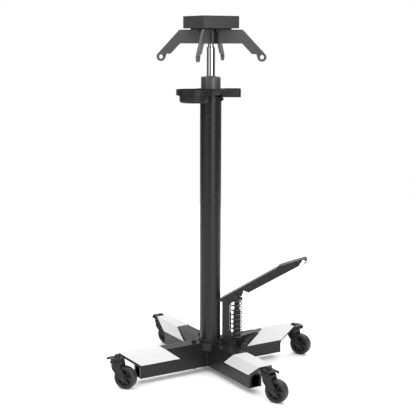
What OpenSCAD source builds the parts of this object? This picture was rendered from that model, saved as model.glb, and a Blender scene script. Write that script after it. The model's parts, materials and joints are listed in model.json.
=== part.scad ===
// Vertical hydraulic transmission jack: four-leg castor base, telescopic column, foot pump and swivel saddle.
// Units are millimetres. The origin is on the floor under the column axis, +Z is up, +X points to the pedals.

/* [Base] */
// Height of the white leg covers above the floor
leg_top = 115; // [100:1:130]
// Height of the lower edge of the legs above the floor
leg_bottom = 22; // [15:1:40]
// Outside width of a leg
leg_w = 50; // [40:1:60]
// Sheet thickness of a leg
leg_wall = 3; // [2:0.5:5]
// Distance from the column axis to the top outer edge of a leg
leg_reach = 360; // [300:5:420]
// Distance from the column axis to the castor swivel axis
caster_reach = 377; // [340:1:420]
// Outside diameter of the collar at the column foot
hub_d = 110; // [90:1:130]

/* [Casters] */
// Wheel diameter
wheel_d = 80; // [60:5:100]
// Wheel width
wheel_w = 28; // [20:1:40]
// Distance from the swivel axis to the wheel axle
trail = 32; // [25:1:45]
// Resting direction of castors a, b, c and d
rest_dir = [-10, -19, -18, -16];

/* [Column] */
// Outside diameter of the column tube
column_d = 76.1; // [60:0.1:90]
// Wall of the column tube
column_wall = 3; // [2:0.5:5]
// Height of the top of the column tube
column_top = 1010; // [800:5:1200]
// Outside diameter of the gland tube
gland_d = 69.5; // [50:0.5:75]
// Height of the top of the gland
gland_top = 1069; // [900:1:1200]
// Ram rod diameter
rod_d = 30; // [20:1:40]
// Height of the rod shoulder in the drawn position
rod_top = 1172; // [1090:1:1250]

/* [Saddle] */
// Height of the underside of the saddle arms
arm_low = 1183; // [1150:1:1250]
// Height of the top edge of the saddle arms
arm_high = 1231; // [1200:1:1300]
// Thickness of a saddle arm
arm_t = 8; // [5:0.5:12]
// Distance from the axis to the hole at the arm tip
tip_r = 181.6; // [150:0.1:220]
// Height of the hole at the arm tip
tip_z = 1137; // [1100:1:1200]
// Diameter of the hole at the arm tip
tip_hole = 15; // [8:0.5:18]
// Side of the square saddle block
block_side = 143; // [100:1:180]
// Height of the top of the saddle block
block_top = 1277; // [1200:1:1350]

/* [Pump] */
// Distance from the column axis to the pedal pivot
pivot_x = 62.5; // [50:0.5:90]
// Height of the pedal pivot
pivot_z = 274; // [220:1:320]
// Distance from the column axis to the pump plunger
plunger_x = 100; // [90:1:120]
// Height of the plunger pin at rest
pin_z = 288; // [250:1:320]
// Pump plunger diameter
plunger_d = 20; // [14:1:24]
// Turns of the return spring
spring_turns = 9.5; // [6:0.5:14]

/* [Hidden] */
$fn = 96;
LEG = [225, -45, 45, 135];
shell_top = leg_top - 1.5;
cover_low = 71;
cover_run = 61;
release_x = 113;
release_z = 113;
clamp_dir = [-20, 40, 100];
leg_end = 299.5;
bracket_top = 111;
collar_low = 84;
black = [0.16, 0.16, 0.17];
dark = [0.24, 0.24, 0.25];
white = [0.93, 0.93, 0.93];
steel = [0.75, 0.76, 0.78];
rubber = [0.10, 0.10, 0.10];

// Points of one rounded corner b between a and c, radius r, n steps.
function unit(v) = v / norm(v);
function corner(a, b, c, r, n) =
    let (p = unit(a - b), q = unit(c - b), h = acos(min(1, max(-1, p * q))) / 2)
    let (d = r / tan(h), m = b + unit(p + q) * r / sin(h), s = b + p * d, e = b + q * d)
    let (t0 = atan2(s[1] - m[1], s[0] - m[0]), t1 = atan2(e[1] - m[1], e[0] - m[0]))
    let (w = (t1 - t0 > 180) ? t1 - t0 - 360 : ((t1 - t0 < -180) ? t1 - t0 + 360 : t1 - t0))
    [for (i = [0 : n]) m + r * [cos(t0 + w * i / n), sin(t0 + w * i / n)]];
// Outline with rounded corners; each entry is [x, y, radius].
function rounded(p, n = 6) = [
    for (i = [0 : len(p) - 1])
        let (k = len(p), a = p[(i + k - 1) % k], b = p[i], c = p[(i + 1) % k])
        for (q = (b[2] > 0) ? corner([a[0], a[1]], [b[0], b[1]], [c[0], c[1]], b[2], n) : [[b[0], b[1]]]) q
];
// Extrude an outline drawn in X and Z along Y, centred, thickness t.
module slab_y(t) {
    rotate([90, 0, 0]) linear_extrude(height = t, center = true) children();
}
// Extrude an outline drawn in Y and Z along X between x0 and x1.
module slab_x(x0, x1) {
    translate([x0, 0, 0]) rotate([90, 0, 90]) linear_extrude(height = x1 - x0) children();
}
module pin_y(r, y0, y1) {
    translate([0, y0, 0]) rotate([-90, 0, 0]) cylinder(r = r, h = y1 - y0);
}
module hex(af, h) {
    cylinder(r = af / sqrt(3), h = h, $fn = 6);
}

// ---------------------------------------------------------------- base
// Side outline of a leg; its slanted end stands 8 mm out from the end of the cover.
module leg_profile() {
    polygon(rounded([[0, leg_bottom, 0], [leg_end, leg_bottom, 0], [leg_end, 61.5, 14],
        [leg_reach - 0.1, 105, 0], [leg_reach - 0.1, bracket_top, 0], [leg_reach - 2, shell_top, 0],
        [0, shell_top, 0]]));
}
module leg(i) {
    rotate([0, 0, LEG[i]])
    difference() {
        slab_y(leg_w) leg_profile();
        // hollow box section
        slab_y(leg_w - 2 * leg_wall)
            polygon([[-1, leg_bottom + leg_wall], [296, leg_bottom + leg_wall], [296, 62.9],
                [leg_reach - 3, 106.9], [leg_reach - 3, shell_top - leg_wall], [-1, shell_top - leg_wall]]);
        // arched opening in the outer end
        slab_x(280, 330)
            polygon(rounded([[-16.5, 25, 0], [16.5, 25, 0], [16.5, 68, 13], [-16.5, 68, 13]]));
        // slot that takes the tongue of the castor bracket
        translate([350, -22.1, 106.9]) cube([20, 44.2, 3.7]);
        // mitre against the next legs, and room for the column and its collar
        for (s = [-1, 1]) rotate([0, 0, s * 45]) translate([-100, s > 0 ? -0.03 : -99.97, 0]) cube([300, 100, 200]);
        cylinder(d = column_d + 0.06, h = 200);
        translate([0, 0, collar_low]) cylinder(d = hub_d, h = 200);
        translate([68, 0, 0]) cylinder(d = 10.4, h = 130);
    }
}
module leg_a() { color(black) leg(0); }
module leg_b() { color(black) leg(1); }
module leg_c() { color(black) leg(2); }
module leg_d() { color(black) leg(3); }

module leg_covers() {
    color(white)
    for (i = [0 : 3]) rotate([0, 0, LEG[i]])
    intersection() {
        slab_x(130, 370)
            polygon([[-27.3, leg_top], [27.3, leg_top], [30.3, cover_low], [28.6, cover_low],
                [25.4, shell_top], [-25.4, shell_top], [-28.6, cover_low], [-30.3, cover_low]]);
        slab_y(80)
            polygon([[202, leg_top + 0.1], [leg_reach, leg_top + 0.1],
                [leg_reach - cover_run, cover_low - 0.1], [202 - cover_run + 2, cover_low - 0.1]]);
    }
}

module base_hub() {
    color(black)
    union() {
        rotate_extrude()
            polygon([[hub_d / 2, collar_low + 0.1], [hub_d / 2, shell_top], [42.5, shell_top],
                [42, shell_top + 3], [38.1, shell_top + 6], [38.1, collar_low + 0.1]]);
        // lugs under the top wall of each leg
        for (a = LEG) rotate([0, 0, a])
        difference() {
            translate([50, -20, 98]) cube([36, 40, 12.4]);
            translate([68, 0, 90]) cylinder(d = 10.4, h = 30);
            translate([0, 0, 90]) cylinder(r = 50, h = 30);
        }
    }
}

module base_plate() {
    color(black)
    difference() {
        translate([0, 0, 91]) linear_extrude(height = 6)
            polygon(rounded([[45, -9, 0], [92, -56, 0], [126, -56, 8], [126, -22, 6], [112, -22, 4],
                [112, 22, 4], [126, 22, 6], [126, 56, 8], [92, 56, 0], [45, 9, 0]]));
        translate([0, 0, 80]) cylinder(d = hub_d, h = 30);
    }
}

module leg_bolts() {
    color(steel)
    for (a = LEG) rotate([0, 0, a]) translate([68, 0, 0])
    union() {
        translate([0, 0, 12]) cylinder(r = 5, h = shell_top - 11);
        translate([0, 0, 15.4]) hex(16, 6.5);
        translate([0, 0, shell_top]) cylinder(r = 10, h = 1.6);
        translate([0, 0, shell_top + 1.6]) hex(16, 6);
    }
}

module caster_bracket() {
    difference() {
        union() {
            // arched plate with rolled sides, outside the leg
            intersection() {
                slab_x(350, 420)
                    polygon(rounded([[-24.5, 98, 0], [-24.5, bracket_top, 12], [24.5, bracket_top, 12],
                        [24.5, 98, 0], [21, 98, 0], [21, bracket_top - 3.6, 8.5],
                        [-21, bracket_top - 3.6, 8.5], [-21, 98, 0]], 8));
                translate([0, 0, 90]) linear_extrude(height = 30)
                    polygon(rounded([[360.2, -26, 0], [409, -26, 8], [409, 26, 8], [360.2, 26, 0]]));
            }
            // tongue that runs inside the leg
            translate([325, -22, 107]) cube([40, 44, 3.4]);
        }
        translate([caster_reach, 0, 90]) cylinder(d = 12.1, h = 40);
    }
}
module caster_brackets() {
    color(black) for (a = LEG) rotate([0, 0, a]) caster_bracket();
}
module kingpin_bolts() {
    color(steel)
    for (a = LEG) rotate([0, 0, a]) translate([caster_reach, 0, 0])
    union() {
        translate([0, 0, 79]) cylinder(r = 5.99, h = bracket_top - 78);
        translate([0, 0, bracket_top]) cylinder(r = 10.5, h = 2);
        translate([0, 0, bracket_top + 2]) cylinder(r1 = 9, r2 = 8.2, h = 5.5);
        translate([0, 0, 78.6]) hex(17, 7);
    }
}

// ---------------------------------------------------------------- column
module column_tube() {
    color(black)
    difference() {
        translate([0, 0, 24]) cylinder(d = column_d, h = column_top - 24);
        translate([0, 0, 20]) cylinder(d = column_d - 2 * column_wall, h = column_top);
        // threaded hole for the filler plug
        translate([0, -30, 936]) rotate([90, 0, 0]) cylinder(d = 12.1, h = 20);
        // holes for the tray clamp screws
        rotate([0, 0, 13.8]) for (a = clamp_dir) rotate([0, 0, a])
            translate([34, 0, 991.4]) rotate([0, 90, 0]) cylinder(d = 6.1, h = 20);
        // oil port from the pump
        translate([20, 0, 106]) rotate([0, 90, 0]) cylinder(d = 8, h = 40);
    }
}
module column_cap() {
    color(steel)
    translate([0, 0, 24])
    difference() {
        cylinder(d = column_d - 2 * column_wall - 0.06, h = 24);
        translate([0, 0, 16]) cylinder(d = 52.06, h = 20);
        rotate_extrude() translate([33, 6]) square([5, 4]);
    }
}
module pressure_tube() {
    color(steel)
    difference() {
        translate([0, 0, 40]) cylinder(d = 52, h = 945);
        translate([0, 0, 39]) cylinder(d = 45, h = 947);
        translate([-40, 0, 106]) rotate([0, 90, 0]) cylinder(d = 6, h = 80);
    }
}
module gland() {
    color(black)
    difference() {
        union() {
            translate([0, 0, 975]) cylinder(d = column_d - 2 * column_wall - 0.06, h = column_top - 975);
            translate([0, 0, column_top]) cylinder(d = gland_d, h = gland_top - column_top - 3);
            translate([0, 0, gland_top - 3]) cylinder(d1 = gland_d, d2 = gland_d - 6, h = 3);
        }
        translate([0, 0, 974]) cylinder(d = 52.06, h = 11);
        translate([0, 0, 970]) cylinder(d = rod_d + 0.1, h = 120);
        translate([0, 0, gland_top - 8]) cylinder(d = 42, h = 10);
    }
}
module wiper_seal() {
    color(rubber)
    rotate_extrude()
        polygon([[rod_d / 2 + 0.05, gland_top - 6], [rod_d / 2 + 1.2, gland_top - 8], [21, gland_top - 8],
            [21, gland_top], [18.5, gland_top + 1], [rod_d / 2 + 0.05, gland_top + 3]]);
}
module filler_plug() {
    color(steel)
    translate([0, 0, 936]) rotate([90, 0, 0])
    difference() {
        union() {
            translate([0, 0, 33]) cylinder(d = 12, h = 6);
            translate([0, 0, 38.05]) cylinder(d = 17, h = 3);
            translate([0, 0, 41.05]) cylinder(d1 = 15, d2 = 13.6, h = 3.4);
        }
        translate([0, 0, 40]) hex(6, 10);
    }
}

// ---------------------------------------------------------------- tray
// The tray is drawn in its own turned frame.
module tray_frame() {
    rotate([0, 0, 13.8]) children();
}
module tray_outline(grow) {
    translate([-58, -66]) circle(r = 62 + grow);
    circle(r = 51 + grow);
    translate([-33 - grow, -72 - grow]) square([64 + 2 * grow, 60]);
    polygon(rounded([[20, -44 - grow, 0], [105 + grow, -44 - grow, 12], [105 + grow, 34 + grow, 12],
        [20, 34 + grow, 0]]));
}
module tool_tray() {
    color(rubber)
    tray_frame()
    difference() {
        union() {
            translate([0, 0, 1007]) linear_extrude(height = 20) tray_outline(0);
            translate([0, 0, 999]) linear_extrude(height = 9)
                polygon(rounded([[34, -44, 6], [105, -44, 12], [105, 34, 12], [34, 34, 6]]));
            translate([-58, -66, 981]) cylinder(r1 = 45, r2 = 50, h = 4);
            translate([-58, -66, 985]) cylinder(r1 = 50, r2 = 51.5, h = 23);
        }
        // bowl and compartments
        translate([-58, -66, 984]) cylinder(r = 47, h = 50);
        difference() {
            translate([-58, -66, 1010]) cylinder(r = 59, h = 20);
            translate([0, 0, 1000]) cylinder(r = 41.5, h = 40);
        }
        translate([0, 0, 1002]) linear_extrude(height = 30)
            polygon(rounded([[50, -41, 6], [102, -41, 9], [102, 31, 9], [50, 31, 6]]));
        translate([0, 0, 970]) cylinder(d = column_d + 0.2, h = 80);
    }
}
module tray_clamp() {
    color(black)
    tray_frame()
    difference() {
        translate([0, 0, 984]) cylinder(d = 85, h = 14.8);
        translate([0, 0, 980]) cylinder(d = column_d + 0.1, h = 40);
        for (a = clamp_dir) rotate([0, 0, a]) translate([30, 0, 991.4])
            rotate([0, 90, 0]) cylinder(d = 6.1, h = 30);
        // room for the tray bowl
        translate([-58, -66, 975]) cylinder(r = 52.5, h = 40);
    }
}
module tray_screws() {
    color(steel)
    tray_frame()
    for (a = clamp_dir) rotate([0, 0, a]) translate([35.2, 0, 991.4]) rotate([0, 90, 0])
    difference() {
        union() {
            cylinder(d = 6, h = 9.8);
            translate([0, 0, 7.4]) cylinder(d1 = 11, d2 = 9, h = 4);
        }
        translate([0, 0, 8.8]) hex(4, 6);
    }
}

// ---------------------------------------------------------------- pump
module pump_body() {
    color(black)
    difference() {
        union() {
            translate([48, -22, 97]) cube([72, 44, 28]);
            translate([plunger_x, 0, 125]) cylinder(r = 20, h = 2);
        }
        translate([0, 0, 90]) cylinder(d = hub_d, h = shell_top + 0.1 - 90);
        translate([0, 0, 100]) cylinder(d = 85, h = 40);
        // clear of the two legs beside it
        for (a = [-45, 45]) rotate([0, 0, a]) translate([0, -leg_w / 2 - 0.2, 90])
            cube([200, leg_w + 0.4, shell_top + 0.2 - 90]);
        // oil way to the column
        translate([40, 0, 106]) rotate([0, 90, 0]) cylinder(d = 6, h = 66);
        // release valve bore, in line with the pedal
        translate([104, 0, 104]) rotate([0, 90, 0]) cylinder(d = 5, h = 20);
        translate([release_x, 0, release_z]) pin_y(3.02, -30, 30);
        // notches for the release pedal cheeks
        for (s = [-1, 1]) translate([103, s * 18.5 - 4.5, 90]) cube([20, 9, 33]);
    }
}
module pump_post() {
    color(black)
    difference() {
        slab_y(38)
            union() {
                polygon(rounded([[49, 125, 0], [76, 125, 0], [76, 258, 3], [70.3, 274, 0], [54.7, 274, 0],
                    [49, 258, 3]]));
                translate([pivot_x, pivot_z]) circle(r = 7.8);
            }
        // hollow box section, open between the two ears
        translate([52, -16, 131]) cube([21, 32, 116]);
        translate([40, -16, 252]) cube([50, 32, 60]);
        translate([pivot_x, 0, pivot_z]) pin_y(5.1, -30, 30);
        // window in the front wall
        translate([70, -8, 160]) cube([10, 16, 60]);
    }
}
module pump_cylinder() {
    color(black)
    difference() {
        union() {
            translate([plunger_x, 0, 127]) cylinder(d = 26.5, h = 101);
            translate([plunger_x, 0, 127]) cylinder(d = 30, h = 4);
        }
        translate([plunger_x, 0, 130]) cylinder(d = plunger_d + 0.1, h = 110);
        translate([plunger_x, 0, 222]) cylinder(d1 = plunger_d, d2 = plunger_d + 3.4, h = 6.1);
    }
}
module pedal_pin() {
    color(steel)
    translate([pivot_x, 0, pivot_z])
    difference() {
        union() {
            pin_y(5.04, -33, 33);
            for (s = [-1, 1]) translate([0, s * 30.2, 0]) pin_y(8, -1.4, 1.4);
        }
        for (s = [-1, 1]) translate([0, s * 33, 0]) rotate([-90, 0, 0]) cylinder(r = 1.2, h = 3, center = true);
    }
}
module release_pin() {
    color(steel) translate([release_x, 0, release_z])
    union() {
        pin_y(3, -25, 25);
        for (s = [-1, 1]) translate([0, s * 25, 0]) pin_y(5, -1, 1);
    }
}

// Height of the lever's top line at x.
function lever_z(x) = 272.5 + (x - 40) * (403.6 - 272.5) / (254 - 40);
// Outline of the lever cheeks in X and Z.
module cheek_outline() {
    polygon(rounded([[40, lever_z(40), 0], [254, lever_z(254), 0], [336, 432.6, 4], [327, 412, 9],
        [147, 304, 4], [129, 311, 4], [119, 297, 5], [113, 278, 10], [84, 262, 8], [54, 261, 9], [44, 266, 5]]));
}
module pedal_lever() {
    color(black)
    difference() {
        union() {
            slab_y(51) cheek_outline();
            for (s = [-1, 1]) translate([pivot_x, s * 26.2, pivot_z]) pin_y(9.5, -1.2, 1.2);
        }
        // inside of the channel, under a 2.2 mm web
        slab_y(45)
            polygon([[30, lever_z(30) - 2.6], [252.5, lever_z(252.5) - 2.6], [252.5, 450], [400, 450],
                [400, 200], [30, 200]]);
        translate([pivot_x, 0, pivot_z]) pin_y(5.1, -40, 40);
        // slot for the plunger pin, pointing at the pivot
        translate([pivot_x, 0, pivot_z]) rotate([0, -atan2(pin_z - pivot_z, plunger_x - pivot_x), 0])
        union() {
            translate([40, 0, 0]) pin_y(5.6, -40, 40);
            translate([37.6, 0, 0]) pin_y(5.6, -40, 40);
            translate([37.6, -40, -5.6]) cube([2.4, 80, 11.2]);
        }
    }
}
// Sloping tread whose front edge is rolled over.
module foot_plate() {
    c = [342, 428.1];
    color(black)
    intersection() {
        slab_y(51)
            polygon(concat([[250.2, 405.5], [254, 406.9]],
                [for (t = [109.6 : -14.2 : -75]) c + 9.5 * [cos(t), sin(t)]],
                [for (t = [-75 : 14.2 : 109.6]) c + 6.5 * [cos(t), sin(t)]],
                [[254, 403.9], [251.6, 402.5]]));
        // rounded front corners
        translate([0, 0, 380]) linear_extrude(height = 80)
            polygon(rounded([[240, -25.5, 0], [351.6, -25.5, 12], [351.6, 25.5, 12], [240, 25.5, 0]]));
    }
}
module plunger() {
    color(steel)
    difference() {
        union() {
            translate([plunger_x, 0, 160]) cylinder(d = plunger_d, h = 116);
            translate([plunger_x - 9.5, -15, 276]) cube([19, 30, 18.6]);
        }
        translate([plunger_x, 0, pin_z]) pin_y(5.01, -30, 30);
    }
}
module plunger_pin() {
    color(steel)
    translate([plunger_x, 0, pin_z])
    union() {
        pin_y(5, -31, 31);
        for (s = [-1, 1]) translate([0, s * 29.4, 0]) pin_y(8, -1.2, 1.2);
    }
}
module spring_seat() {
    color(steel)
    translate([plunger_x, 0, 270])
    difference() {
        union() {
            translate([0, 0, 2]) cylinder(d = 41, h = 3.9);
            cylinder(d = 30, h = 3);
        }
        translate([0, 0, -1]) cylinder(d = plunger_d + 0.02, h = 20);
    }
}
// Coil spring: swept circle with closed end turns.
module return_spring() {
    steps = 24;
    sides = 10;
    z0 = 129.1;
    z1 = 269.9;
    w = 2;
    n = round(spring_turns * steps);
    color(steel)
    translate([plunger_x, 0, 0])
    polyhedron(
        points = [
            for (i = [0 : n]) let (a = 360 * i / steps, z = z0 + (z1 - z0) * i / n)
                for (j = [0 : sides - 1]) let (b = 360 * j / sides)
                    [(18 + w * cos(b)) * cos(a), (18 + w * cos(b)) * sin(a), z + w * sin(b)]
        ],
        faces = concat(
            [[for (j = [0 : sides - 1]) j]],
            [[for (j = [0 : sides - 1]) n * sides + sides - 1 - j]],
            [for (i = [0 : n - 1]) for (j = [0 : sides - 1])
                [i * sides + j, (i + 1) * sides + j,
                    (i + 1) * sides + (j + 1) % sides, i * sides + (j + 1) % sides]]
        )
    );
}
module release_pedal() {
    color(black)
    difference() {
        union() {
            // low side flanges that drop to the pin at the back
            for (s = [-1, 1]) translate([0, s * 19.1, 0]) slab_y(3)
                polygon(rounded([[122.6, 139.2, 0], [168, 155.7, 0], [167, 148, 4], [140, 136, 8], [127, 112, 8],
                    [118, 106, 6], [107, 106, 5], [106, 117, 5], [122.6, 124, 4]]));
            // tread with a round end
            translate([122, 0, 139.5]) rotate([0, -20, 0])
            translate([0, 0, -1.5]) linear_extrude(height = 3)
                polygon(rounded([[-1.5, -21.1, 0], [72.7, -21.1, 19], [72.7, 21.1, 19], [-1.5, 21.1, 0]], 10));
        }
        translate([release_x, 0, release_z]) pin_y(3.1, -40, 40);
    }
}

// ---------------------------------------------------------------- ram and saddle
module rod() {
    color(steel)
    difference() {
        union() {
            translate([0, 0, 142]) cylinder(d = 24, h = 31);
            translate([0, 0, 170]) cylinder(d = rod_d, h = rod_top - 172);
            translate([0, 0, rod_top - 2]) cylinder(d1 = rod_d, d2 = rod_d - 4, h = 2);
            translate([0, 0, rod_top - 1]) cylinder(d = 21, h = 1227.6 - rod_top + 1);
        }
        // groove for the saddle screw
        translate([0, 0, 1200]) rotate_extrude() translate([8.5, 0]) square([5, 9]);
    }
}
module piston() {
    color(steel)
    difference() {
        translate([0, 0, 140]) cylinder(d = 44.9, h = 30);
        translate([0, 0, 142]) cylinder(d = 24.02, h = 40);
        rotate_extrude() translate([19, 150]) square([5, 8]);
    }
}
module piston_seal() {
    color(rubber)
    rotate_extrude() translate([19, 150]) square([3.46, 8]);
}
module stop_sleeve() {
    color(steel)
    difference() {
        translate([0, 0, 170]) cylinder(d = 40, h = 111);
        translate([0, 0, 169]) cylinder(d = rod_d + 0.02, h = 120);
    }
}
module saddle_hub() {
    color(black)
    difference() {
        union() {
            translate([0, 0, 1182]) cylinder(d = 50, h = arm_high - 1182);
        }
        translate([0, 0, 1180]) cylinder(d = 21.1, h = 48);
        translate([0, 0, 1181]) cylinder(d1 = 25, d2 = 21, h = 2);
        rotate([0, 0, 45]) translate([0, 0, 1204.5]) rotate([0, 90, 0]) cylinder(d = 8.02, h = 40);
    }
}
module saddle_screw() {
    color(steel)
    rotate([0, 0, 45]) translate([8.9, 0, 1204.5]) rotate([0, 90, 0])
    difference() {
        union() {
            cylinder(d = 6, h = 4);
            translate([0, 0, 2.6]) cylinder(d = 8, h = 16.2);
        }
        translate([0, 0, 15]) hex(4, 10);
    }
}
module arm(a) {
    r = 15.4;
    rotate([0, 0, a])
    difference() {
        slab_y(arm_t)
        union() {
            polygon(rounded([[20, arm_low, 0], [112, arm_low, 6], [147, 1147, 4], [163, 1147, 3],
                [166.2, 1137, 0], [181.6, 1137, 0], [192.7, 1147.6, 0], [113, arm_high, 8], [20, arm_high, 0]]));
            translate([tip_r, tip_z]) circle(r = r);
            translate([166.2, tip_z - 4]) square([6, 12]);
            polygon([[163, 1146], [166.4, 1146], [170, 1137], [166.2, 1135], [163.4, 1140]]);
        }
        translate([tip_r, 0, tip_z]) pin_y(tip_hole / 2, -20, 20);
        translate([0, 0, 1100]) cylinder(d = 50, h = 200);
    }
}
module arm_px() { color(black) arm(0); }
module arm_py() { color(black) arm(90); }
module arm_nx() { color(black) arm(180); }
module arm_ny() { color(black) arm(270); }
module saddle_plate() {
    color(black)
    rotate([0, 0, 45])
    difference() {
        translate([-52, -52, arm_high]) cube([104, 104, 4]);
        for (a = [0 : 3]) rotate([0, 0, 90 * a]) translate([42, 0, arm_high - 1]) cylinder(d = 8.1, h = 10);
    }
}
module saddle_block() {
    s = block_side / 2;
    color(dark)
    rotate([0, 0, 45]) translate([0, 0, arm_high + 4])
    difference() {
        linear_extrude(height = block_top - arm_high - 4)
            polygon(rounded([[-s, -s, 2], [s, -s, 2], [s, s, 2], [-s, s, 2]], 3));
        for (a = [0 : 3]) rotate([0, 0, 90 * a]) translate([42, 0, -1]) cylinder(d = 8.1, h = 22);
    }
}
module block_screws() {
    color(steel)
    rotate([0, 0, 45]) for (a = [0 : 3]) rotate([0, 0, 90 * a]) translate([42, 0, arm_high])
    union() {
        cylinder(d = 8, h = 23);
        translate([0, 0, -1.6]) cylinder(d = 17, h = 1.6);
        translate([0, 0, -6.6]) hex(13, 5);
    }
}

// ---------------------------------------------------------------- casters
module place_caster(i) {
    rotate([0, 0, LEG[i]]) translate([caster_reach, 0, 0]) rotate([0, 0, rest_dir[i] - LEG[i]]) children();
}
module fork(i) {
    place_caster(i)
    difference() {
        union() {
            translate([0, 0, 97]) cylinder(r = 13.5, h = 9.8);
            translate([0, 0, 97]) cylinder(r1 = 19.5, r2 = 14.5, h = 4);
            translate([0, 0, 89]) cylinder(r = 26, h = 5);
            translate([0, 0, 94]) cylinder(r1 = 26, r2 = 22.5, h = 3.5);
            translate([0, 0, 86]) cylinder(r1 = 22, r2 = 26, h = 3);
            for (s = [-1, 1]) translate([0, s * 17.9, 0]) slab_y(3)
            union() {
                polygon(rounded([[-15, 90, 2], [-13, 70, 12], [trail - 15, 34, 10], [trail, 28.6, 0],
                    [trail + 10.4, 45, 4], [22, 76, 12], [20, 90, 2]]));
                translate([trail, wheel_d / 2]) circle(r = 11.5, $fn = 48);
            }
            // shoulders between the crown and the cheeks
            for (s = [-1, 1]) translate([-14.5, s * 17.9 - 2.2, 84]) cube([34, 4.4, 6]);
        }
        translate([0, 0, 60]) cylinder(d = 12.1, h = 60);
        translate([trail, 0, wheel_d / 2]) pin_y(4.99, -30, 30);
        translate([0, 0, 50]) cylinder(r = 13, h = 36);
    }
}
module rim(i) {
    place_caster(i) translate([trail, 0, wheel_d / 2])
    difference() {
        rotate([90, 0, 0]) rotate_extrude()
            polygon([[5.06, -15.6], [11, -15.6], [12, -13], [12, -5], [27, -4], [28, -11], [31.4, -11],
                [31.4, 11], [28, 11], [27, 4], [12, 5], [12, 13], [11, 15.6], [5.06, 15.6]]);
        for (k = [0 : 4]) rotate([0, 72 * k, 0]) translate([19.5, 0, 0]) pin_y(4.2, -20, 20);
    }
}
module tyre(i) {
    place_caster(i) translate([trail, 0, wheel_d / 2])
    rotate([90, 0, 0]) rotate_extrude()
        polygon(rounded([[31.4, -12, 0], [36, -wheel_w / 2, 3], [wheel_d / 2 - 0.6, -wheel_w / 2, 5],
            [wheel_d / 2, 0, 30], [wheel_d / 2 - 0.6, wheel_w / 2, 5], [36, wheel_w / 2, 3], [31.4, 12, 0]], 4));
}
module axle(i) {
    place_caster(i) translate([trail, 0, wheel_d / 2])
    union() {
        pin_y(4.98, -23.4, 25.6);
        translate([0, -23.4, 0]) rotate([-90, 0, 0]) cylinder(r = 8, h = 4);
        translate([0, 19.4, 0]) rotate([-90, 0, 0]) hex(13, 5);
    }
}
module fork_a() { color(black) fork(0); }
module fork_b() { color(black) fork(1); }
module fork_c() { color(black) fork(2); }
module fork_d() { color(black) fork(3); }
module rim_a() { color(dark) rim(0); }
module rim_b() { color(dark) rim(1); }
module rim_c() { color(dark) rim(2); }
module rim_d() { color(dark) rim(3); }
module tyre_a() { color(rubber) tyre(0); }
module tyre_b() { color(rubber) tyre(1); }
module tyre_c() { color(rubber) tyre(2); }
module tyre_d() { color(rubber) tyre(3); }
module axle_a() { color(steel) axle(0); }
module axle_b() { color(steel) axle(1); }
module axle_c() { color(steel) axle(2); }
module axle_d() { color(steel) axle(3); }

leg_a();
leg_b();
leg_c();
leg_d();
leg_covers();
base_hub();
base_plate();
leg_bolts();
caster_brackets();
kingpin_bolts();
column_tube();
column_cap();
pressure_tube();
gland();
wiper_seal();
filler_plug();
tool_tray();
tray_clamp();
tray_screws();
pump_post();
pump_body();
pump_cylinder();
pedal_pin();
release_pin();
rod();
piston();
piston_seal();
stop_sleeve();
saddle_hub();
saddle_screw();
arm_px();
arm_py();
arm_nx();
arm_ny();
saddle_plate();
saddle_block();
block_screws();
pedal_lever();
foot_plate();
plunger();
plunger_pin();
spring_seat();
return_spring();
release_pedal();
fork_a();
fork_b();
fork_c();
fork_d();
rim_a();
rim_b();
rim_c();
rim_d();
tyre_a();
tyre_b();
tyre_c();
tyre_d();
axle_a();
axle_b();
axle_c();
axle_d();
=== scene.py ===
"""Looks for the transmission jack.

Adds materials, rounded and detailed pieces, light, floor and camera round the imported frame.
"""
import json
import math

import bmesh
import bpy
from mathutils import Matrix, Vector


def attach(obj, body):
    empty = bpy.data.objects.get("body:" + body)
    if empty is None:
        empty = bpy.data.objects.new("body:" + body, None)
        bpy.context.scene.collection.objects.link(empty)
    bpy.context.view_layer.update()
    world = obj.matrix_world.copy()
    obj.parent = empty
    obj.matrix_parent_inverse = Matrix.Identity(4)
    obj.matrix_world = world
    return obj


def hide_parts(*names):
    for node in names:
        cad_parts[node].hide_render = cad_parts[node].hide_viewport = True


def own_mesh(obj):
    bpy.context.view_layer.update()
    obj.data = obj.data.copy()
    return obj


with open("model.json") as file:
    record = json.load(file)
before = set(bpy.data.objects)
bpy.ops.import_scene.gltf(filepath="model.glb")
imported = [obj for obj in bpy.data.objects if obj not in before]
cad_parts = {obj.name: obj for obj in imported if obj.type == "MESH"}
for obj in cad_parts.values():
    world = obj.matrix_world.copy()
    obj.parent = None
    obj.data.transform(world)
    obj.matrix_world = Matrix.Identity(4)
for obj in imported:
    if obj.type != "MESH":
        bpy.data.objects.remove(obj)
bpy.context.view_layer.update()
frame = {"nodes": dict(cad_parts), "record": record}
NODES = frame["nodes"]


# ------------------------------------------------------------------ camera
VIEW_AZIMUTH = math.radians(13.78)


def make_camera():
    """The photograph's viewpoint: 3.46 m away, just below the saddle pad, looking slightly down."""
    azimuth, pitch, roll = VIEW_AZIMUTH, math.radians(9.61), math.radians(0.14)
    distance, height, sideways, lens = 3.4595, 1.187, -0.0088, 84.65
    right = Vector((math.cos(azimuth), math.sin(azimuth), 0))
    level = Vector((-math.sin(azimuth), math.cos(azimuth), 0))
    forward = level * math.cos(pitch) - Vector((0, 0, math.sin(pitch)))
    up = right.cross(forward)
    r2 = right * math.cos(roll) + up * math.sin(roll)
    u2 = up * math.cos(roll) - right * math.sin(roll)
    data = bpy.data.cameras.new("camera")
    data.lens, data.sensor_width = lens, 36.0
    data.clip_start, data.clip_end = 0.1, 60
    cam = bpy.data.objects.new("camera", data)
    bpy.context.collection.objects.link(cam)
    place = Vector((distance * math.sin(azimuth), -distance * math.cos(azimuth), height)) + right * sideways
    m = Matrix((r2, u2, -forward)).transposed().to_4x4()
    m.translation = place
    cam.matrix_world = m
    bpy.context.scene.camera = cam


make_camera()


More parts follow.
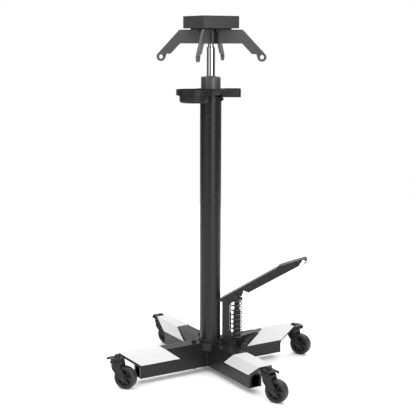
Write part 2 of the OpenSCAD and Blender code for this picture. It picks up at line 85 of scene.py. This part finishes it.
# ------------------------------------------------------------------ materials
class Mat:
    """A small helper that builds one node material."""

    def __init__(self, name, **sockets):
        self.mat = bpy.data.materials.new(name)
        self.mat.use_nodes = True
        self.nt = self.mat.node_tree
        self.nt.nodes.clear()
        self.out = self.nt.nodes.new("ShaderNodeOutputMaterial")
        self.bsdf = self.nt.nodes.new("ShaderNodeBsdfPrincipled")
        self.nt.links.new(self.bsdf.outputs[0], self.out.inputs[0])
        for key, value in sockets.items():
            self.bsdf.inputs[key.replace("_", " ")].default_value = value
        self.coord = self.node("ShaderNodeTexCoord").outputs["Object"]

    def node(self, kind, inputs=None, **props):
        n = self.nt.nodes.new(kind)
        for key, value in props.items():
            setattr(n, key, value)
        for key, value in (inputs or {}).items():
            if isinstance(value, bpy.types.NodeSocket):
                self.nt.links.new(value, n.inputs[key])
            else:
                n.inputs[key].default_value = value
        return n

    def noise(self, scale, detail=3.0, rough=0.5, vector=None):
        return self.node("ShaderNodeTexNoise", {"Vector": vector or self.coord, "Scale": scale,
                                                "Detail": detail, "Roughness": rough}).outputs["Fac"]

    def stretched(self, x, y, z):
        return self.node("ShaderNodeMapping", {"Vector": self.coord, "Scale": (x, y, z)}).outputs[0]

    def ramp(self, fac, stops):
        n = self.node("ShaderNodeValToRGB", {"Fac": fac})
        el = n.color_ramp.elements
        while len(el) < len(stops):
            el.new(0.5)
        for e, (pos, col) in zip(el, stops):
            e.position = pos
            e.color = (*col, 1) if isinstance(col, tuple) else (col, col, col, 1)
        return n.outputs["Color"]

    def mix(self, fac, a, b):
        n = self.node("ShaderNodeMix", data_type="RGBA")
        for key, value in ((0, fac), (6, a), (7, b)):
            if isinstance(value, bpy.types.NodeSocket):
                self.nt.links.new(value, n.inputs[key])
            else:
                n.inputs[key].default_value = value if key == 0 else (*value, 1)
        return n.outputs[2]

    def math(self, op, a, b=0.0):
        return self.node("ShaderNodeMath", {0: a, 1: b}, operation=op).outputs[0]

    def bump(self, height, strength, distance, normal=None):
        ins = {"Height": height, "Strength": strength, "Distance": distance}
        if normal is not None:
            ins["Normal"] = normal
        return self.node("ShaderNodeBump", ins).outputs[0]

    def set(self, key, socket):
        self.nt.links.new(socket, self.bsdf.inputs[key])


def edge_wear(m):
    """A mask that is 1 on worn convex edges."""
    pointy = m.node("ShaderNodeNewGeometry").outputs["Pointiness"]
    grit = m.noise(160, 4, 0.6)
    sharp = m.ramp(pointy, [(0.56, 0.0), (0.63, 1.0)])
    return m.math("MULTIPLY", sharp, m.ramp(grit, [(0.45, 0.0), (0.62, 1.0)]))


def powder_coat(name, colour, light, rough=0.42, wear=0.35, level=0.24):
    """Fine orange-peel powder coat with faint cloudiness and slightly rubbed edges."""
    m = Mat(name, Specular_IOR_Level=level)
    cloud = m.noise(9, 3)
    col = m.mix(m.ramp(cloud, [(0.3, 0.0), (0.7, 1.0)]), colour, light)
    bare = tuple(min(1, c * 2.4 + 0.05) for c in light)
    m.set("Base Color", m.mix(m.math("MULTIPLY", edge_wear(m), wear), col, bare))
    m.set("Roughness", m.ramp(m.noise(55, 4), [(0.25, rough - 0.02), (0.75, rough + 0.03)]))
    peel = m.bump(m.noise(1400, 2), 0.03, 0.0003)
    m.set("Normal", m.bump(m.noise(210, 2), 0.005, 0.0006, peel))
    return m.mat


def metal(name, colour, rough, streak=(1, 1, 1), bump=0.05):
    m = Mat(name, Metallic=1.0)
    line = m.noise(900, 3, 0.6, m.stretched(*streak))
    m.set("Base Color", m.mix(m.ramp(m.noise(30, 4), [(0.3, 0.0), (0.7, 1.0)]), colour,
                              tuple(c * 0.82 for c in colour)))
    m.set("Roughness", m.ramp(line, [(0.3, rough), (0.7, rough + 0.09)]))
    m.set("Normal", m.bump(line, bump, 0.0002))
    return m.mat


def plastic(name, colour, rough, grain=1800, depth=0.25, level=0.45):
    m = Mat(name, Specular_IOR_Level=level)
    col = m.mix(m.ramp(m.noise(14, 4), [(0.35, 0.0), (0.7, 1.0)]), colour, tuple(c * 1.25 for c in colour))
    m.set("Base Color", col)
    m.set("Roughness", m.ramp(m.noise(70, 3), [(0.3, rough - 0.05), (0.7, rough + 0.07)]))
    m.set("Normal", m.bump(m.noise(grain, 2), depth, 0.00025))
    return m.mat


MATS = {
    "black_paint": powder_coat("black_powder_coat", (0.0115, 0.0116, 0.0121), (0.0130, 0.0131, 0.0137), 0.27),
    "white_paint": powder_coat("white_powder_coat", (0.58, 0.58, 0.58), (0.60, 0.60, 0.60), 0.4, 0.0),
    "steel": metal("dark_zinc", (0.05, 0.051, 0.053), 0.42),
    "spring_steel": metal("oiled_spring", (0.11, 0.11, 0.115), 0.32),
    "chrome": metal("hard_chrome", (0.62, 0.63, 0.64), 0.06, (1, 1, 0.03), 0.02),
    "tray_plastic": plastic("moulded_black", (0.008, 0.008, 0.0083), 0.42, 1800, 0.1, 0.25),
    "wheel_plastic": plastic("wheel_core", (0.012, 0.012, 0.0125), 0.45),
    "tyre_rubber": plastic("tyre_rubber", (0.014, 0.014, 0.0143), 0.5, 900, 0.15),
    "pad_rubber": plastic("pad_rubber", (0.024, 0.024, 0.0247), 0.62, 700, 0.2),
    "seal_rubber": plastic("seal_rubber", (0.016, 0.016, 0.016), 0.5),
}
# the saddle arms and the gland get a lighter copy of the black paint: painted light, standing in for the light
# that falls on the arms
PAINTED_LIT_COAT = powder_coat("black_coat_painted_lit", (0.056, 0.0565, 0.058), (0.061, 0.0615, 0.063), 0.38, 0.35, 0.42)
SLOT = {s["node"]: s["material_slot"] for s in frame["record"]["subparts"]}
BODY = {n: b for b, nodes in frame["record"]["behaviour"]["bodies"].items() for n in nodes}
for name, obj in NODES.items():
    for s in obj.material_slots:
        s.material = MATS[SLOT[name]]


# ------------------------------------------------------------------ mesh helpers
MM = 0.001
LEG = {"a": 225, "b": -45, "c": 45, "d": 135}
JOINT = {j["name"]: j for j in frame["record"]["behaviour"]["joints"]}
PIN = {x: Vector(JOINT["caster_swivel_" + x]["pos_m"]) * 1000 for x in "abcd"}
HUB = {x: Vector(JOINT["wheel_spin_" + x]["pos_m"]) * 1000 for x in "abcd"}
TRAIL = (HUB["a"] - PIN["a"]).to_2d().length
WHEEL_R = HUB["a"].z
PLUNGER_X = 100.0


def rot_z(deg):
    return Matrix.Rotation(math.radians(deg), 4, "Z")


def shift(x, y, z):
    return Matrix.Translation(Vector((x, y, z)))


def caster_place(x):
    """From a castor's own frame to the object's, in mm.

    X runs along the trail, and the origin is on the floor under the kingpin.
    """
    way = HUB[x] - PIN[x]
    return shift(PIN[x].x, PIN[x].y, 0) @ Matrix.Rotation(math.atan2(way.y, way.x), 4, "Z")


def add(name, bm, slot, body, replaced=(), place=None, sharp=38, bevel=0.0, segments=2):
    """Turn a bmesh drawn in millimetres into a piece that rides on a body."""
    bm.transform(Matrix.Scale(MM, 4) @ (place or Matrix.Identity(4)))
    bmesh.ops.recalc_face_normals(bm, faces=bm.faces)
    me = bpy.data.meshes.new(name)
    bm.to_mesh(me)
    bm.free()
    me.materials.append(MATS[slot])
    obj = bpy.data.objects.new(name, me)
    bpy.context.collection.objects.link(obj)
    me.shade_smooth()
    me.set_sharp_from_angle(angle=math.radians(sharp))
    if bevel:
        mod = obj.modifiers.new("bevel", "BEVEL")
        mod.width, mod.segments, mod.limit_method = bevel * MM, segments, "ANGLE"
        mod.angle_limit = math.radians(30)
        mod.harden_normals = True
    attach(obj, body)
    if replaced:
        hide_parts(*replaced)
    return obj


def rounded(points, steps=6):
    """Outline with rounded corners; each entry is (x, y, radius)."""
    out = []
    for i, (bx, by, r) in enumerate(points):
        a, b, c = Vector(points[i - 1][:2]), Vector((bx, by)), Vector(points[(i + 1) % len(points)][:2])
        if r <= 0:
            out.append(b)
            continue
        p, q = (a - b).normalized(), (c - b).normalized()
        half = p.angle(q) / 2
        mid = b + (p + q).normalized() * r / math.sin(half)
        s, e = b + p * r / math.tan(half) - mid, b + q * r / math.tan(half) - mid
        turn = math.atan2(s.x * e.y - s.y * e.x, s.dot(e))
        for k in range(steps + 1):
            out.append(mid + Matrix.Rotation(turn * k / steps, 2) @ s)
    return [(v.x, v.y) for v in out]


def lathe(bm, profile, n=96, place=None):
    """Closed ring swept round Z from (radius, height) points."""
    rings = []
    for i in range(n):
        a = 2 * math.pi * i / n
        rings.append([bm.verts.new((r * math.cos(a), r * math.sin(a), z)) for r, z in profile])
    k = len(profile)
    for i in range(n):
        a, b = rings[i], rings[(i + 1) % n]
        for j in range(k):
            bm.faces.new((a[j], b[j], b[(j + 1) % k], a[(j + 1) % k]))
    verts = [v for ring in rings for v in ring]
    if place is not None:
        bmesh.ops.transform(bm, matrix=place, verts=verts)
    bmesh.ops.remove_doubles(bm, verts=verts, dist=1e-4)


def prism(bm, outline, z0, z1, place=None):
    """Closed solid from an outline between two heights."""
    low = [bm.verts.new((x, y, z0)) for x, y in outline]
    top = [bm.verts.new((x, y, z1)) for x, y in outline]
    n = len(outline)
    bm.faces.new(list(reversed(low)))
    bm.faces.new(top)
    for i in range(n):
        bm.faces.new((low[i], low[(i + 1) % n], top[(i + 1) % n], top[i]))
    if place is not None:
        bmesh.ops.transform(bm, matrix=place, verts=low + top)


def sweep(bm, path, radius, sides=12, closed=False, ripple=0.0):
    """Tube along a path of points; ripple gives it the scales of a weld bead."""
    pitch = 2.4
    pts = [Vector(p) for p in path]
    n = len(pts)
    rings, run = [], 0.0
    up = Vector((0, 0, 1))
    for i, p in enumerate(pts):
        if closed or 0 < i < n - 1:
            t = pts[(i + 1) % n] - pts[i - 1]
        else:
            t = pts[1] - pts[0] if i == 0 else pts[-1] - pts[-2]
        t.normalize()
        ref = up if abs(t.dot(up)) < 0.95 else Vector((1, 0, 0))
        side = t.cross(ref).normalized()
        top = side.cross(t)
        if i:
            run += (p - pts[i - 1]).length
        r = radius * (1 + ripple * (1 - abs(((run / pitch) % 1) * 2 - 1) - 0.5))
        rings.append([bm.verts.new(p + (side * math.cos(b) + top * math.sin(b)) * r)
                      for b in (2 * math.pi * j / sides for j in range(sides))])
    for i in range(n if closed else n - 1):
        a, b = rings[i], rings[(i + 1) % n]
        for j in range(sides):
            bm.faces.new((a[j], a[(j + 1) % sides], b[(j + 1) % sides], b[j]))
    if not closed:
        bm.faces.new(list(reversed(rings[0])))
        bm.faces.new(rings[-1])


def line(a, b, step=0.6):
    a, b = Vector(a), Vector(b)
    n = max(2, round((b - a).length / step))
    return [a.lerp(b, i / n) for i in range(n + 1)]


def circle(r, z, step=0.6):
    n = max(24, round(2 * math.pi * r / step))
    turns = [2 * math.pi * i / n for i in range(n)]
    return [(r * math.cos(a), r * math.sin(a), z) for a in turns]


def refine(node, width, segments=2, folds=(), place=None):
    """A copy of a CAD node with its edges rounded.

    folds are (test, radius) pairs for bent sheet edges, in mm in the frame that place gives.
    """
    min_angle = 24
    bm = bmesh.new()
    bm.from_mesh(NODES[node].data)
    bmesh.ops.remove_doubles(bm, verts=bm.verts, dist=2e-6)
    flat_angle = math.radians(0.8)
    bmesh.ops.dissolve_limit(bm, angle_limit=flat_angle, verts=bm.verts, edges=bm.edges)
    bmesh.ops.recalc_face_normals(bm, faces=bm.faces)
    weight = bm.edges.layers.float.new("bevel_weight_edge")
    biggest = max([width] + [r for _, r in folds])
    back = (place or Matrix.Identity(4)).inverted() @ Matrix.Scale(1000, 4)
    for e in bm.edges:
        if len(e.link_faces) != 2 or e.calc_face_angle(0) < math.radians(min_angle):
            continue
        w = width
        a, b = back @ e.verts[0].co, back @ e.verts[1].co
        for test, r in folds:
            if test((a + b) / 2, (b - a).normalized()):
                w = r
        e[weight] = w / biggest
    me = bpy.data.meshes.new(node + "_finished")
    bm.to_mesh(me)
    bm.free()
    slot = SLOT[node]
    me.materials.append(MATS[slot])
    for p in me.polygons:
        p.material_index = 0
    obj = bpy.data.objects.new(node + "_finished", me)
    bpy.context.collection.objects.link(obj)
    me.shade_smooth()
    me.set_sharp_from_angle(angle=math.radians(min_angle))
    mod = obj.modifiers.new("bevel", "BEVEL")
    mod.width, mod.segments, mod.limit_method = biggest * MM, segments, "WEIGHT"
    mod.use_clamp_overlap = True
    mod.harden_normals = True
    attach(obj, BODY[node])
    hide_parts(node)
    return obj


# ------------------------------------------------------------------ base
def long_along_x(z_low, z_high, v_low, v_high):
    """Edges that run along a leg, inside a band of height and half width."""
    def test(mid, way):
        return abs(way.x) > 0.99 and z_low < mid.z < z_high and v_low < abs(mid.y) < v_high
    return test


def make_base():
    """Legs with folded top edges, and the pieces bolted to them."""
    outer_fold = (long_along_x(112, 115, 24, 26), 4.0)
    inner_fold = (long_along_x(109, 111.5, 21, 23), 1.5)
    for x in "abcd":
        refine("leg_" + x, 0.5, 3, [outer_fold, inner_fold], place=rot_z(LEG[x]))
    refine("leg_covers", 0.35, 3)
    refine("base_hub", 0.6)
    refine("base_plate", 0.7)
    refine("caster_brackets", 0.7, 2)
    refine("leg_bolts", 0.5)
    refine("kingpin_bolts", 0.6)


def bead(bm, path, radius, ripple=0.25, sides=8, closed=False):
    """One weld bead along a path."""
    sweep(bm, path, radius, sides, closed, ripple)


def make_welds():
    """Weld beads where the real joints are welded, painted over with the same coat."""
    collar_r, leg_half, leg_low, collar_low, collar_top = 55.0, 25.0, 23, 84, 110.4
    bm = bmesh.new()
    bead(bm, circle(40.4, 116.2), 2.6, 0.22, 10, True)
    for a in LEG.values():
        m = rot_z(a)
        for s in (-1, 1):
            x, y = math.sqrt(collar_r ** 2 - leg_half ** 2) + 1.0, s * (leg_half + 0.3)
            bead(bm, [m @ p for p in line((x, y, collar_low), (x, y, collar_top))], 2.0)
        m = rot_z(a + 45)
        bead(bm, [m @ p for p in line((37.4, 0, leg_low), (37.4, 0, collar_low))], 3.1, 0.15, 10)
    post_y, post_x0, post_x1, body_top = 20.0, 49, 76, 125.6
    for s in (-1, 1):
        bead(bm, line((post_x0, s * post_y, body_top), (post_x1, s * post_y, body_top)), 1.9)
    bead(bm, line((post_x1 + 1, 1 - post_y, body_top), (post_x1 + 1, post_y - 1, body_top)), 1.9)
    add("base_welds", bm, "black_paint", "base", sharp=60)

    arm_x, arm_half, arm_low, arm_top = 25.6, 4.8, 1185, 1229
    bm = bmesh.new()
    for a in (0, 90, 180, 270):
        m = rot_z(a)
        for s in (-1, 1):
            bead(bm, [m @ p for p in line((arm_x, s * arm_half, arm_low), (arm_x, s * arm_half, arm_top))], 1.8)
    add("saddle_welds", bm, "black_paint", "saddle", sharp=60)

    bm = bmesh.new()
    plate_x, plate_z = 254.2, 404.2
    bead(bm, line((plate_x, -24.6, plate_z), (plate_x, 24.6, plate_z)), 1.7)
    add("pedal_welds", bm, "black_paint", "pedal", sharp=60)


# ------------------------------------------------------------------ casters
def make_tyre(x):
    """Tyre with a groove in its side wall and a crowned tread."""
    half = [(31.4, 12.0), (32.4, 13.2), (33.6, 13.5), (34.1, 13.15), (34.6, 13.15), (35.1, 13.6), (36.4, 13.9),
            (37.5, 13.7), (38.5, 12.9), (39.3, 11.5), (39.75, 9.5), (39.95, 6.5), (40.0, 3.2)]
    prof = [(r, -h) for r, h in half] + [(r, h) for r, h in reversed(half)]
    bm = bmesh.new()
    lathe(bm, prof, 128, Matrix.Rotation(math.pi / 2, 4, "X"))
    add("tyre_" + x + "_moulded", bm, "tyre_rubber", "wheel_" + x, ["tyre_" + x],
        caster_place(x) @ shift(TRAIL, 0, WHEEL_R), sharp=50)


def make_rim(x):
    """Wheel core: hub, outer ring, thin web and six ribs."""
    place = caster_place(x) @ shift(TRAIL, 0, WHEEL_R)
    turn = Matrix.Rotation(math.pi / 2, 4, "X")
    hub = [(5.06, -15.6, 0.4), (10.6, -15.6, 0.8), (11.6, -12.5, 0.6),
           (11.6, 12.5, 0.6), (10.6, 15.6, 0.8), (5.06, 15.6, 0.4)]
    ring = [(27.6, -11.4, 0.8), (29.8, -12.0, 0.6), (31.38, -11.4, 0.3), (31.38, 11.4, 0.3),
            (29.8, 12.0, 0.6), (27.6, 11.4, 0.8), (26.6, 4, 0.8), (26.6, -4, 0.8)]
    web = [(11.0, -2.2), (27.2, -2.2), (27.2, 2.2), (11.0, 2.2)]
    rib = [(11.2, -11.5), (19, -9.2), (27.3, -10.2), (27.3, 10.2), (19, 9.2), (11.2, 11.5)]
    ribs, rib_half = 6, 1.7
    bm = bmesh.new()
    lathe(bm, rounded(hub, 3), 64, turn)
    lathe(bm, rounded(ring, 3), 96, turn)
    lathe(bm, web, 96, turn)
    for k in range(ribs):
        prism(bm, rib, -rib_half, rib_half, Matrix.Rotation(math.radians(360 / ribs * k), 4, "Y"))
    add("rim_" + x + "_moulded", bm, "wheel_plastic", "wheel_" + x, ["rim_" + x], place, bevel=0.35)


def make_fork(x):
    """Pressed fork: a ridge on each cheek, from the crown towards the axle."""
    refine("fork_" + x, 0.8, 2)
    bm = bmesh.new()
    ridge = [(-9.2, 84), (-8.8, 73.5), (2.5, 60), (15, 45)]
    for y in (-19.5, 19.5):
        corners = [(px, y, pz) for px, pz in ridge]
        pts = []
        for a, b in zip(corners, corners[1:]):
            pts += line(a, b, 2)[:-1]
        sweep(bm, pts, 1.3, 8)
    add("fork_" + x + "_details", bm, "black_paint", "swivel_" + x, (), caster_place(x))
    refine("axle_" + x, 0.5, 2)


# ------------------------------------------------------------------ pump
def make_spring():
    """Return spring: round wire with closed end turns."""
    turns, low, high, mean_r, wire_r, steps = 9.5, 129.1, 269.9, 18.0, 2.0, 640
    flat_turns, flat_rise = 0.75, 2.6
    bm = bmesh.new()
    pts = []
    for i in range(steps + 1):
        t = i / steps * turns
        if t < flat_turns:
            z = low + flat_rise * t / flat_turns
        elif t > turns - flat_turns:
            z = high - flat_rise * (turns - t) / flat_turns
        else:
            rise = high - low - 2 * flat_rise
            z = low + flat_rise + rise * (t - flat_turns) / (turns - 2 * flat_turns)
        a = 2 * math.pi * t
        pts.append((PLUNGER_X + mean_r * math.cos(a), mean_r * math.sin(a), z))
    sweep(bm, pts, wire_r, 14)
    obj = add("return_spring_wire", bm, "spring_steel", "base", ["return_spring"], sharp=60)
    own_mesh(obj)


make_base()
make_welds()
for x in "abcd":
    make_tyre(x)
    make_rim(x)
    make_fork(x)
make_spring()
# CAD pieces that only need their edges rounded, with the width in mm
for node, width in (("column_tube", 0.6), ("gland", 0.5), ("wiper_seal", 0.3), ("filler_plug", 0.4),
                    ("tool_tray", 0.9), ("tray_clamp", 0.5), ("tray_screws", 0.3), ("pump_post", 1.2),
                    ("pump_body", 0.8),
                    ("pump_cylinder", 0.6), ("pedal_pin", 0.5), ("release_pin", 0.4), ("rod", 0.4),
                    ("saddle_hub", 0.6), ("arm_px", 0.7), ("arm_py", 0.7), ("arm_nx", 0.7), ("arm_ny", 0.7),
                    ("saddle_plate", 0.6), ("saddle_block", 1.4), ("block_screws", 0.4), ("pedal_lever", 0.5),
                    ("foot_plate", 0.7), ("plunger", 0.6), ("plunger_pin", 0.5), ("spring_seat", 0.4),
                    ("release_pedal", 0.6)):
    piece = refine(node, width)
    # the arms and the gland swap to the lighter copy of the black paint, which is painted light
    if node in ("arm_px", "arm_py", "arm_nx", "arm_ny", "gland"):
        piece.data.materials[0] = PAINTED_LIT_COAT


# ------------------------------------------------------------------ stage
# radiance round the jack, by degrees to the right of the main view, and overhead
ROUND = [(-180, 0.75), (-145, 0.7), (-115, 0.08), (-72, 0.08), (-62, 1.0), (-34, 1.0), (-22, 0.22), (8, 0.22),
         (17, 4.2), (37, 4.2), (47, 0.12), (110, 0.06), (145, 0.7), (180, 0.75)]
TOP = 2.1
# a world colour holds half the radiance, and the strength doubles it
GAIN = 2.0


def make_world():
    """Two tall soft panels in front, one overhead and dim sides, on a background that looks plain white."""
    world = bpy.data.worlds.new("studio")
    world.use_nodes = True
    nt = world.node_tree
    nt.nodes.clear()

    def node(kind, *inputs, **props):
        n = nt.nodes.new(kind)
        for key, value in props.items():
            setattr(n, key, value)
        for i, value in enumerate(inputs):
            if isinstance(value, bpy.types.NodeSocket):
                nt.links.new(value, n.inputs[i])
            elif value is not None:
                n.inputs[i].default_value = value
        return n

    def ramp(fac, *stops):
        n = node("ShaderNodeValToRGB", fac)
        el = n.color_ramp.elements
        while len(el) < len(stops):
            el.new(0.5)
        for e, (pos, v) in zip(el, stops):
            e.position, e.color = pos, (v, v, v, 1)
        return n.outputs["Color"]

    way = node("ShaderNodeTexCoord").outputs["Generated"]
    turn_sin, turn_cos = math.sin(VIEW_AZIMUTH), math.cos(VIEW_AZIMUTH)
    dot = {"operation": "DOT_PRODUCT"}
    front = node("ShaderNodeVectorMath", way, (turn_sin, -turn_cos, 0), **dot).outputs["Value"]
    side = node("ShaderNodeVectorMath", way, (turn_cos, turn_sin, 0), **dot).outputs["Value"]
    angle = node("ShaderNodeMath", side, front, operation="ARCTAN2").outputs[0]
    fac = node("ShaderNodeMath", angle, 1 / (2 * math.pi), 0.5, operation="MULTIPLY_ADD").outputs[0]
    round_the_jack = ramp(fac, *[((deg + 180) / 360, v / GAIN) for deg, v in ROUND])
    height = node("ShaderNodeSeparateXYZ", way).outputs[2]
    over = ramp(height, (0.0, 0.0), (0.55, 0.0), (0.8, 1.0))
    light = node("ShaderNodeMix", data_type="RGBA")
    nt.links.new(over, light.inputs[0])
    nt.links.new(round_the_jack, light.inputs[6])
    light.inputs[7].default_value = (TOP / GAIN, TOP / GAIN, TOP / GAIN, 1)
    seen = node("ShaderNodeLightPath").outputs["Is Camera Ray"]
    final = node("ShaderNodeMix", data_type="RGBA")
    nt.links.new(seen, final.inputs[0])
    nt.links.new(light.outputs[2], final.inputs[6])
    final.inputs[7].default_value = (1 / GAIN, 1 / GAIN, 1 / GAIN, 1)
    bg = node("ShaderNodeBackground", final.outputs[2], GAIN)
    nt.links.new(bg.outputs[0], node("ShaderNodeOutputWorld").inputs[0])
    bpy.context.scene.world = world


def make_stage():
    """A pale floor, the studio round it and three soft lights."""
    floor_half, aim = 3.6, Vector((0, 0, 0.6))
    me = bpy.data.meshes.new("floor")
    bm = bmesh.new()
    bmesh.ops.create_grid(bm, x_segments=2, y_segments=2, size=floor_half)
    bm.to_mesh(me)
    bm.free()
    floor = bpy.data.objects.new("floor", me)
    bpy.context.collection.objects.link(floor)
    m = Mat("floor_white", Roughness=0.7, Emission_Color=(1, 1, 1, 1), Emission_Strength=0.08)
    m.set("Base Color", m.mix(m.noise(3, 2), (0.97, 0.97, 0.97), (0.99, 0.99, 0.99)))
    me.materials.append(m.mat)
    make_world()
    for name, place, power, size in (
        ("key", (-2.2, -2.6, 3.2), 25, 1.6),
        ("fill", (2.6, -2.9, 2.0), 18, 1.4),
        ("back", (0.8, 2.8, 2.8), 25, 1.6),
    ):
        data = bpy.data.lights.new(name, "AREA")
        data.energy, data.size = power, size
        light = bpy.data.objects.new(name, data)
        bpy.context.collection.objects.link(light)
        light.location = place
        light.rotation_euler = (aim - Vector(place)).to_track_quat("-Z", "Y").to_euler()
    bpy.context.scene.view_settings.view_transform = "Standard"


make_stage()
